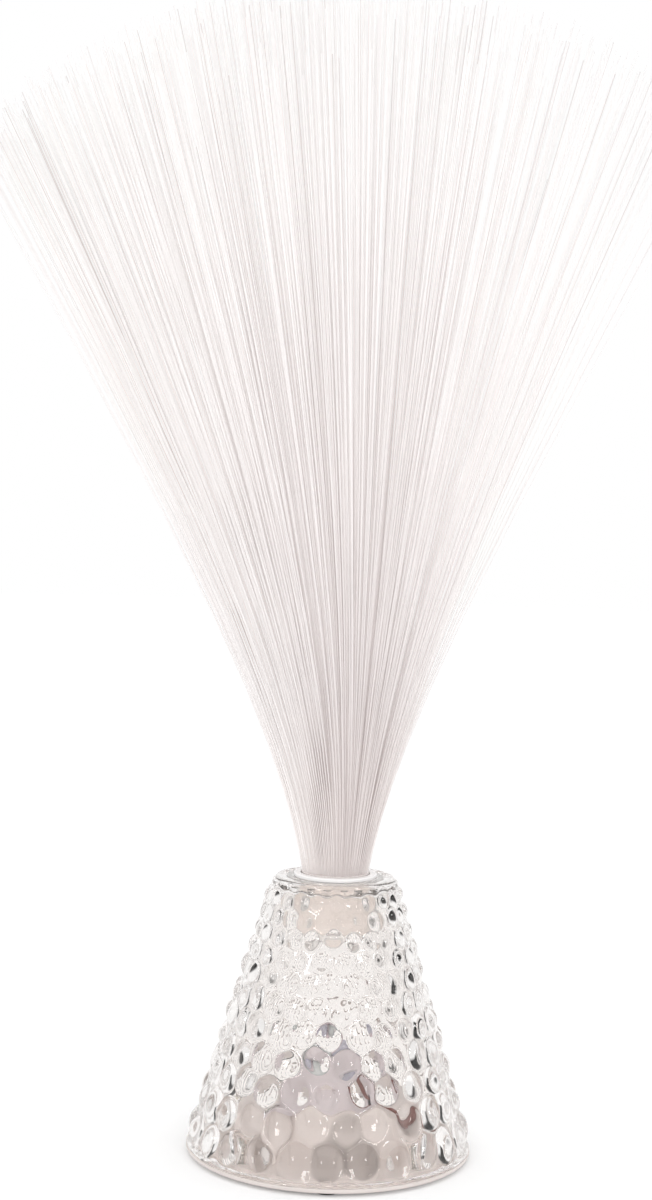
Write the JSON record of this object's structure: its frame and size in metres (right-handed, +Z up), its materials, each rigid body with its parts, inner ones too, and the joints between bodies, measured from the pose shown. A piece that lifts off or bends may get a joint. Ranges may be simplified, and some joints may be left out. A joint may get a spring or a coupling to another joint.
{
  "type": "fibre optic lamp",
  "caption": "Battery table lamp with a spray of clear optical fibres standing in a clear hobnailed cone base, lit from a pod of lights inside.",
  "frame": {"origin": "on the surface that the lamp stands on, under the middle of its base", "axes": "+Z up along the middle of the base and the spray; +Y towards the back, where the switch is; +X to the right as seen from the front"},
  "size_m": [0.2106, 0.2104, 0.3299],
  "materials": {
    "clear_plastic": "clear, as polished by the mould",
    "ferrule_plastic": "satin, pinkish beige",
    "fibre_plastic": "drawn, clear to milky",
    "white_plastic": "satin, off-white",
    "door_plastic": "satin, off-white",
    "rubber": "matt",
    "steel": "zinc plated",
    "nickel": "nickel plated",
    "cell_jacket": "plain printed sleeve, bare ends",
    "switch_plastic": "satin",
    "board": "solder mask",
    "led_red_epoxy": "clear tinted",
    "led_green_epoxy": "clear tinted",
    "led_blue_epoxy": "clear tinted",
    "chip_epoxy": "potted",
    "red_sleeve": "smooth sleeve",
    "black_sleeve": "smooth sleeve",
    "white_sleeve": "smooth sleeve"
  },
  "bodies": {
    "base": {"crystal_base": "clear_plastic", "bottom_cover": "white_plastic", "rubber_foot_1": "rubber", "rubber_foot_2": "rubber", "rubber_foot_3": "rubber", "rubber_foot_4": "rubber", "cover_screw_1": "steel", "cover_screw_2": "steel", "cover_screw_3": "steel", "cover_screw_4": "steel", "cell_1": "cell_jacket", "cell_2": "cell_jacket", "cell_3": "cell_jacket", "contact_plus": "nickel", "contact_minus": "nickel", "contact_link_left": "nickel", "contact_link_right": "nickel", "cell_spring_1": "nickel", "cell_spring_2": "nickel", "cell_spring_3": "nickel", "switch_body": "steel", "light_pod": "white_plastic", "pod_screw_1": "steel", "pod_screw_2": "steel", "light_board": "board", "led_red": "led_red_epoxy", "led_green": "led_green_epoxy", "led_blue": "led_blue_epoxy", "control_chip": "chip_epoxy", "board_screw_1": "steel", "board_screw_2": "steel", "red_wire": "red_sleeve", "black_wire": "black_sleeve", "switch_wire": "white_sleeve"},
    "socket": {"socket_cup": "clear_plastic"},
    "spray": {"ferrule": "ferrule_plastic", "fibre_bundle": "fibre_plastic"},
    "switch": {"switch_slider": "switch_plastic"},
    "door": {"battery_door": "door_plastic"}
  },
  "joints": [
    {"name": "spray_turn", "type": "hinge", "parent": "base", "child": "socket", "pos_m": [0, 0, 0.08], "axis": [0, 0, 1], "continuous": true},
    {"name": "spray_lift", "type": "slide", "parent": "socket", "child": "spray", "axis": [0, 0, 1], "range_m": [0, 0.025]},
    {"name": "switch_slide", "type": "slide", "parent": "base", "child": "switch", "axis": [1, 0, 0], "range_m": [0, 0.002]},
    {"name": "battery_door_swing", "type": "hinge", "parent": "base", "child": "door", "pos_m": [-0.0251, 0, 0.001], "axis": [0, 1, 0], "range_deg": [0, 75]}
  ]
}
